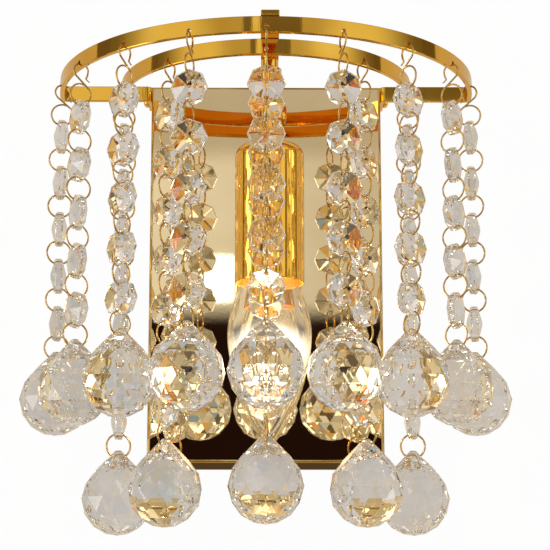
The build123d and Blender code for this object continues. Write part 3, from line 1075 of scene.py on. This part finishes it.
@dataclass(frozen=True)
class CandleBulb(Assembly):
    """The lit candle bulb: threaded cap, clear glass, stem and filament."""

    cap_bottom: float = -69.0
    tip: float = -145.0
    cap_head: Profile = ((0, -45.0), (1.8, -45.0), (2.4, -45.6), (2.4, -46.2), (3.5, -46.2), (6.3, -49.2))
    cap_thread: Profile = ((6.95, 0.0), (6.5, 1.4))
    glass_rows: Profile = (  # depth below the cap, radius
        (0, 7.4), (6, 9.2), (13, 12.2), (21, 15.2), (29, 17.2), (35, 17.55), (44, 16.6), (54, 13.6),
        (62, 10.0), (69, 6.2), (74, 2.6),
    )
    glass_wall: float = 0.8
    stem: Profile = (
        (0, -69.0), (4.0, -69.0), (3.0, -72.0), (2.2, -76.0), (2.0, -88.0), (2.4, -93.0), (1.6, -95.0),
        (0, -95.0),
    )
    stem_end: float = -94.0
    filament_level: float = -107.0
    filament_reach: float = 5.0
    filament_wave: float = 0.9
    filament_runs: int = 7

    def build(self) -> None:
        """Make and dress every piece."""
        self.cap()
        self.glass()
        self.filament()

    def cap(self) -> None:
        """Roll the threaded cap with its insulator and end contact."""
        thread = ridges(6, -50.2, 2.8, self.cap_thread)
        foot = (6.95, -67.4), (6.95, self.cap_bottom), (0, self.cap_bottom)
        piece = turned([*self.cap_head, *thread, *foot], LAMP, 36, closed=False)
        shade(piece, 60)
        self.dress(piece, "bulb_cap_thread", Finish.CAP, "bulb_cap", "bulb")

    def glass(self) -> None:
        """Blow the glass: a turned outside, smoothed, with an even wall."""
        outline = [(radius, self.cap_bottom - depth) for depth, radius in self.glass_rows]
        piece = turned([*outline, (0, self.tip)], LAMP, 32, closed=False)
        apply_modifier(piece, "SUBSURF", levels=2, render_levels=2)
        apply_modifier(piece, "SOLIDIFY", thickness=self.glass_wall * MM, offset=-1.0)
        take_up(piece)
        bpy.ops.object.shade_smooth()
        piece.visible_shadow = False
        self.dress(piece, "bulb_glass_shell", Finish.BULB, "bulb_glass", "bulb")

    def filament(self) -> None:
        """Draw the stem's tube, its two lead wires and the filament between them."""
        (x, y), reach, level = LAMP, self.filament_reach, self.filament_level
        stem = turned(self.stem, LAMP, 20, closed=False)
        shade(stem, 60)
        leads = [
            peg(8, 0.25, (x, y + side, self.stem_end), (x, y + side * reach, level)) for side in (1, -1)
        ]
        runs = self.filament_runs
        turns = [
            (x, y - reach + 2 * reach * turn / runs, level - self.filament_wave * (turn % 2))
            for turn in range(runs + 1)
        ]
        wire = joined([peg(8, 0.45, start, end) for start, end in zip(turns, turns[1:])])
        self.dress(wire, "bulb_filament_wire", Finish.FILAMENT, "bulb_filament", "bulb")
        self.dress(joined([stem, *leads]), "bulb_stem", Finish.CAP, "bulb_filament", "bulb")


@dataclass(frozen=True)
class CrystalStrands(Assembly):
    """Fourteen strands: a bent-wire hook, facet-cut octagons on wire rings and a facet-cut ball."""

    rings: tuple[tuple[str, float, tuple[int, ...], int], ...] = (  # radius, angles, octagons
        ("outer", 89.0, OUTER_ANGLES, 5),
        ("inner", 62.3, INNER_ANGLES, 7),
    )
    wire: float = 0.4
    loop_top: float = 3.2
    loop_bottom: float = 4.6
    loop_top_drop: float = 3.4
    loop_bottom_drop: float = 13.65
    free_end: float = 190  # degrees, where the upper loop lets go
    closing: float = 344  # degrees of the lower loop
    flick: tuple[Point, ...] = ((0.0, -1.5, 1.2), (0.0, 0.6, 1.4), (0.0, 0.3, 1.3))
    first_bead_drop: float = 23.4
    pitch: float = 20.4
    link_radius: float = 5.05
    flats: float = 7.0
    girdle: float = 3.0
    table: float = 0.9
    table_level: float = 3.3
    edge_facet: float = 0.45
    hole_reach: float = 5.0
    hole: float = 1.05
    ball_radius: float = 15.0
    ball_height: float = 35.1
    ball_seat: float = 3.07
    ball_neck: float = 1.3
    ball_hole_drop: float = 2.35
    ball_sides: int = 12
    ball_rows: tuple[float, ...] = (50.0, 25.0, 0.0, -25.0, -50.0, -72.0)  # latitudes
    first_facet: float = -9.0  # faces below this level are split into triangles

    def build(self) -> None:
        """Model the four masters once, then hang every strand from copies of them."""
        masters = (self.hook(), self.link(), self.octagon(), self.ball())
        for ring, radius, angles, count in self.rings:
            for number, angle in enumerate(angles, start=1):
                self.strand(f"{ring}_strand_{number}", radius, angle, count, masters)
        for master in masters:
            bpy.data.objects.remove(master, do_unlink=True)

    def hook(self) -> Piece:
        """Bend the hook: a flicked end, an upper loop, a crossing run and a larger loop below.

        Returns:
            The hook, hung from the origin.
        """
        apart, radii = self.loop_bottom_drop - self.loop_top_drop, self.loop_top + self.loop_bottom
        tangent = asin(radii / apart)
        run = sqrt(apart**2 - radii**2)
        free = radians(self.free_end)
        start = Vector((0.0, -self.loop_top * cos(free), self.loop_top * sin(free) - self.loop_top_drop))
        piece = disc(8, self.wire, start - sum(map(Vector, self.flick), Vector((0, 0, 0))), -self.free_end)
        with editing(piece, "EDGE"):
            for move in self.flick:
                pull(move)
            spin(18, -self.free_end - degrees(tangent), (0, 0, -self.loop_top_drop), (1, 0, 0))
            pull((0, run * sin(tangent), -run * cos(tangent)))
            spin(26, self.closing, (0, 0, -self.loop_bottom_drop), (1, 0, 0))
        close_holes(piece, 8)
        true_up(piece)
        shade(piece, 60)
        return piece

    def link(self) -> Piece:
        """Bend a wire ring, with its ends meeting at one side.

        Returns:
            The ring, about the origin.
        """
        piece = disc(6, self.wire, (0.0, -self.link_radius, 0.0))
        with editing(piece, "EDGE"):
            spin(26, 357, (0, 0, 0), (1, 0, 0))
        close_holes(piece, 8)
        true_up(piece)
        shade(piece, 70)
        return piece

    def octagon(self) -> Piece:
        """Cut an octagon: a narrow edge and eight broad facets that run up to a small table.

        Returns:
            The octagon, about the origin.
        """
        half, share = self.girdle / 2, self.table / self.flats
        piece = peg(8, self.flats / cos(pi / 8), (0, -half, 0), (0, half, 0))
        for side in (1, -1):
            with editing(piece):
                pick(piece, "faces", lambda face: face.normal.y * side > 0.9)
                pull((0, side * (self.table_level - half), 0))
                bpy.ops.transform.resize(value=(share, 1, share), center_override=(0, 0, 0))
        with editing(piece, "EDGE"):
            pick(piece, "edges", self.is_rim)
            bpy.ops.mesh.bevel(offset=self.edge_facet * MM, segments=1, affect="EDGES")
        true_up(piece)
        levels = (-self.hole_reach, self.hole_reach)
        cut(piece, [peg(10, self.hole, (0, -6, level), (0, 6, level)) for level in levels])
        return piece

    def is_rim(self, edge: bmesh.types.BMEdge) -> bool:
        """Tell whether an edge runs round the octagon, where its girdle meets its facets."""
        a, b = ends(edge)
        return abs(abs(a.y) - self.girdle / 2) < 0.01 and abs(a.y - b.y) < 0.01

    def ball(self) -> Piece:
        """Cut a ball: a tapered neck, rows of three-cornered facets and a point, drilled at the neck.

        Returns:
            The ball, with its top at the origin.
        """
        level, radius = 0.0, self.ball_neck
        piece = disc(self.ball_sides, radius, filled=True)
        with editing(piece):
            for row, latitude in enumerate(map(radians, self.ball_rows)):
                new_level = self.ball_radius * (1 + sin(latitude)) - self.ball_height
                new_radius = self.ball_radius * cos(latitude)
                pull((0, 0, new_level - level))
                share, middle = new_radius / radius, (0, 0, new_level * MM)
                bpy.ops.transform.resize(value=(share, share, 1), center_override=middle)
                if row:
                    half = pi / self.ball_sides
                    bpy.ops.transform.rotate(value=half, orient_axis="Z", center_override=middle)
                level, radius = new_level, new_radius
            pull((0, 0, -self.ball_height - level))
            bpy.ops.mesh.merge(type="CENTER")
            pick(piece, "faces", lambda face: face.calc_center_median().z < self.first_facet * MM)
            bpy.ops.mesh.quads_convert_to_tris(quad_method="SHORTEST_DIAGONAL")
        true_up(piece)
        close_holes(piece, 16)
        start, end = ((0, y, -self.ball_hole_drop) for y in (-16, 16))
        cut(piece, [peg(12, 1.0, start, end, across=1.25)])
        return piece

    @staticmethod
    def down(drop: float, turn: float = 0.0) -> Matrix:
        """Give the matrix that carries a piece down its strand, and turns it about the strand."""
        return Matrix.Translation((0, 0, -drop * MM)) @ Matrix.Rotation(turn, 4, "Z")

    def strand(
        self, name: str, radius: float, angle: float, count: int, masters: Sequence[Piece]
    ) -> None:
        """Hang one strand, with its beads turned a little this way and that.

        Args:
            name: the strand's body.
            radius: how far its hook hole is from the rings' centre.
            angle: where it hangs, from straight ahead.
            count: how many octagons it has.
            masters: the hook, the ring, the octagon and the ball.
        """
        hook, link, octagon, ball = masters
        turn = radians(angle)
        hole = Vector((radius * sin(turn), -REACH - radius * cos(turn), HOLE_LEVEL)) * MM
        place = Matrix.Translation(hole) @ Matrix.Rotation(turn, 4, "Z")
        beads, wires = [], [copy_of(hook, place)]
        drop = self.first_bead_drop
        for number in range(count):
            sway = radians(7.0 * sin(1.9 * number + 0.31 * angle))
            beads.append(copy_of(octagon, place @ self.down(drop, sway)))
            wires.append(copy_of(link, place @ self.down(drop + self.pitch / 2, -sway)))
            drop += self.pitch
        top = drop - self.pitch / 2 + self.link_radius - self.ball_seat
        stone = copy_of(ball, place @ self.down(top))
        self.dress(joined(wires), f"{name}_wires", Finish.WIRE, f"{name}_links", name)
        self.dress(joined(beads), f"{name}_cut_octagons", Finish.CRYSTAL, f"{name}_octagons", name)
        self.dress(stone, f"{name}_cut_ball", Finish.CRYSTAL, f"{name}_ball", name)


# Studio ------------------------------------------------------------------------------------------


@dataclass(frozen=True)
class Studio:
    """The camera, the white wall and floor, the lamps and the room that the gilt reflects."""

    camera_place: Point = (-0.0009, -0.8343, -0.2495)
    camera_pitch: float = 12.45
    camera_yaw: float = 0.34
    lens: float = 126.6
    bounces: int = 24
    sheet_size: float = 2.4
    floor_level: float = -0.9
    # The patchworks' tones: dark end, pale end, amber, brown, blue and spark.
    soft_tones: tuple[Colour, ...] = (
        (0.40, 0.35, 0.30), (0.76, 0.72, 0.67), (0.66, 0.44, 0.18), (0.17, 0.12, 0.08),
        (0.34, 0.48, 0.62), (1.4, 1.35, 1.25),
    )
    sharp_tones: tuple[Colour, ...] = (
        (0.22, 0.16, 0.09), (1.0, 0.95, 0.84), (0.78, 0.46, 0.13), (0.09, 0.06, 0.035),
        (0.25, 0.42, 0.62), (2.4, 2.3, 2.1),
    )
    rich_tones: tuple[Colour, ...] = (
        (0.50, 0.42, 0.30), (1.0, 0.92, 0.74), (0.95, 0.62, 0.25), (0.08, 0.045, 0.02),
        (0.40, 0.55, 0.66), (2.4, 2.3, 2.0),
    )
    white: Colour = (1.0, 1.0, 1.0)

    def build(self) -> None:
        """Set up the whole studio."""
        scene = bpy.context.scene
        scene.view_settings.view_transform = "Standard"
        cycles = scene.cycles
        cycles.max_bounces = cycles.transmission_bounces = cycles.glossy_bounces = self.bounces
        self.camera(scene)
        self.wall()
        self.floor()
        self.lamps()
        self.room(scene)

    def camera(self, scene: bpy.types.Scene) -> None:
        """Put the camera at the photograph's angle, below the light and looking up a little."""
        data = bpy.data.cameras.new("photo_camera")
        data.lens, data.sensor_width = self.lens, 36.0
        data.clip_start, data.clip_end = 0.01, 20.0
        camera = bpy.data.objects.new("photo_camera", data)
        camera.location = self.camera_place
        camera.rotation_euler = (radians(90 + self.camera_pitch), 0.0, radians(-self.camera_yaw))
        scene.collection.objects.link(camera)
        scene.camera = camera

    def sheet(self, name: str, place: Point, tilt: float) -> Paint:
        """Add a large plain sheet for the wall or the floor.

        Args:
            name: the name of the sheet and of its material.
            place: its middle in metres.
            tilt: its rotation about X in degrees.

        Returns:
            The paint of its material.
        """
        put_down()
        bpy.ops.mesh.primitive_plane_add(size=self.sheet_size, location=place, rotation=(radians(tilt), 0, 0))
        piece = bpy.context.object
        piece.name = name
        paint = Paint(bpy.data.materials.new(name))
        piece.data.materials.append(paint.owner)
        return paint

    def wall(self) -> None:
        """Hang a white wall behind the light; it is clear from behind, so that the back can be seen."""
        paint = self.sheet("white_wall", (0.0, 0.0004, -0.06), 90)
        place = paint.place()
        across, level = paint.along(place, "X").math("ABSOLUTE"), paint.along(place, "Y")
        # What the gilt mirrors: a pale board with the plate's shadow, gold at a second bounce.
        beside_plate, under_plate = across.smooth(0.052, 0.060), level.smooth(-0.085, -0.075)
        shadow = (1.0 - beside_plate) * level.smooth(-0.125, -0.105) * (1.0 - under_plate)
        board = paint.mix(across.smooth(0.33, 0.345), (0.70, 0.60, 0.47), (0.17, 0.13, 0.10))
        mirrored = paint.layers(
            board,
            (shadow, (0.10, 0.06, 0.025)),
            (paint.ray("Glossy Depth").smooth(1.4, 1.6), (0.70, 0.34, 0.10)),
            (paint.ray("Transmission Depth").smooth(0.4, 0.6), (0.92, 0.88, 0.82)),
        )
        # What is seen through the crystal.
        tone = paint.noise(9.0, 2.0).smooth(0.3, 0.7)
        hazy = paint.mix(tone, (0.50, 0.45, 0.405), (0.66, 0.61, 0.56))
        plain = paint.add("BsdfDiffuse", {"Color": (0.86, 0.86, 0.86)})
        front = paint.blend(0.97 * paint.ray("Is Camera Ray"), plain, paint.emission(self.white))
        front = paint.blend(paint.ray("Is Glossy Ray"), front, paint.emission(mirrored))
        front = paint.blend(paint.ray("Is Transmission Ray"), front, paint.emission(hazy))
        behind = paint.add("NewGeometry", output="Backfacing")
        paint.finish(paint.blend(behind, front, paint.add("BsdfTransparent")))

    def floor(self) -> None:
        """Lay a plain pale floor well below the light."""
        paint = self.sheet("pale_floor", (0.0, -self.sheet_size / 2, self.floor_level), 0)
        plain = paint.add("BsdfDiffuse", {"Color": (0.42, 0.39, 0.35)})
        paint.finish(paint.blend(0.85 * paint.ray("Is Camera Ray"), plain, paint.emission(self.white)))

    @staticmethod
    def lamp(name: str, kind: str, place: Point, power: float, colour: Colour) -> Piece:
        """Hang a lamp.

        Args:
            name: its name.
            kind: AREA or POINT.
            place: where it hangs, in metres.
            power: its power in watts.
            colour: its colour.

        Returns:
            The lamp.
        """
        data = bpy.data.lights.new(name, kind)
        data.energy, data.color = power, colour
        lamp = bpy.data.objects.new(name, data)
        lamp.location = place
        bpy.context.scene.collection.objects.link(lamp)
        return lamp

    def lamps(self) -> None:
        """Hang two soft boxes that no metal mirrors, and the small lamp whose glints crystals catch."""
        for box in (
            self.lamp("left_box", "AREA", (-0.75, -0.9, 0.55), 2.0, (1.0, 0.97, 0.92)),
            self.lamp("right_box", "AREA", (0.8, -0.8, 0.50), 1.6, (1.0, 0.98, 0.95)),
        ):
            box.data.shape, box.data.size = "SQUARE", 0.5
            box.visible_glossy = False
            towards = Vector((0, -0.06, -0.06)) - box.location
            box.rotation_euler = towards.to_track_quat("-Z", "Y").to_euler()
        glint = self.lamp("filament_light", "POINT", (0.0015, -0.057, -0.107), 0.35, (1.0, 0.80, 0.55))
        glint.data.shadow_soft_size = 0.004

    @staticmethod
    def patchwork(paint: Paint, direction: Value, scale: float, tones: Sequence[Colour]) -> Value:
        """Give the patchwork that cut crystal makes of a room.

        Args:
            paint: the world being built.
            direction: a ray's direction.
            scale: how fine the patches are.
            tones: dark end, pale end, amber, brown, blue and spark.

        Returns:
            The colour.
        """
        dark, pale, amber, brown, blue, spark = tones
        tone, tint, glint = paint.cells(direction, scale, 3)
        colour = paint.mix(tint.smooth(0.80, 0.82), paint.mix(tone, dark, pale), amber)
        colour = paint.mix(tint.smooth(0.08, 0.10), brown, colour)
        colour = paint.mix(glint.smooth(0.955, 0.965), colour, blue)
        return paint.mix(glint.smooth(0.05, 0.07), spark, colour)

    def room(self, scene: bpy.types.Scene) -> None:
        """Paint the room in front of the light: bright sides, a dim gap, a mirror's view and the floor."""
        scene.world = bpy.data.worlds.new("studio_room")
        paint = Paint(scene.world)
        direction = paint.add("TexCoord", output="Generated")
        across, away, up = (paint.along(direction, axis) for axis in "XYZ")
        turn = across.math("ARCTAN2", 0.0 - away) * degrees(1)  # from straight ahead
        side = turn.math("ABSOLUTE")
        rise = up.math("ARCSINE") * degrees(1)
        # What the level band round the sleeve and the crystals mirrors.
        low_band = paint.layers(
            paint.mix(rise.smooth(-40.0, 0.0), (0.36, 0.30, 0.23), (0.95, 0.93, 0.88)),
            (side.smooth(12.0, 13.0) - side.smooth(24.0, 27.0), (0.34, 0.27, 0.18)),
            (turn.between(-86.0, -66.0) + turn.between(80.0, 87.0), (4.2, 4.1, 3.8)),
            (side.between(52.0, 60.0), (0.30, 0.24, 0.15)),
        )
        # What the rings mirror: dark in the middle, pale at the shoulders and dark again at the sides.
        shoulder = paint.layers(
            (0.60, 0.55, 0.46),
            (side.smooth(24.0, 46.0), (0.98, 0.96, 0.92)),
            (side.smooth(58.0, 92.0), (0.20, 0.17, 0.13)),
        )
        top_band = paint.layers(
            (0.21, 0.18, 0.15),
            (turn.between(-7.5, -3.3), (0.95, 0.90, 0.78)),
            (1.0 - turn.between(-12.3, 19.0), shoulder),
        )
        around = paint.layers(
            low_band, (rise.smooth(16.3, 16.6), top_band), (rise.smooth(35.0, 60.0), (0.30, 0.24, 0.17))
        )
        # What the plate mirrors: bright at the left, dimmer at the right and above, near black below.
        ahead = paint.layers(
            (0.98, 0.94, 0.86),
            (turn.smooth(-6.0, 6.0), (0.66, 0.61, 0.54)),
            (rise.smooth(10.9, 11.9), (0.60, 0.54, 0.46)),
            (1.0 - rise.smooth(4.8, 5.8), (0.016, 0.006, 0.004)),
        )
        front = (1.0 - side.smooth(7.2, 8.5)) * rise.smooth(-12.0, -4.0) * (1.0 - rise.smooth(14.4, 14.8))
        patch = turn.between(-1.85, -0.95) * rise.between(5.7, 7.5)
        # What crystal shows: richer where a mirror is seen through it, softer behind it than ahead.
        rich = paint.mix(front, self.patchwork(paint, direction, 7.0, self.rich_tones), ahead)
        soft = self.patchwork(paint, direction, 8.0, self.soft_tones)
        sharp = self.patchwork(paint, direction, 18.0, self.sharp_tones)
        colour = paint.layers(
            around,
            (front, ahead),
            (patch, (4.0, 4.0, 3.9)),
            (paint.ray("Transmission Depth").smooth(0.4, 0.6), rich),
            (0.95 * paint.ray("Is Transmission Ray"), paint.mix(away.smooth(-0.6, -0.1), sharp, soft)),
            (paint.ray("Is Camera Ray"), self.white),
        )
        paint.finish(paint.add("Background", {"Color": colour, "Strength": 1.0}))


def main() -> None:
    """Build every sub-assembly, then the studio."""
    logging.basicConfig(level=logging.INFO, format="%(name)s: %(message)s")
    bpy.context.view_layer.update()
    for part in (HangingFrame, BackPlate, LampHanger, CandleBulb, CrystalStrands):
        log.info("building %s", part.__name__)
        part().build()
    Studio().build()
    put_down()


if __name__ == "__main__":
    main()
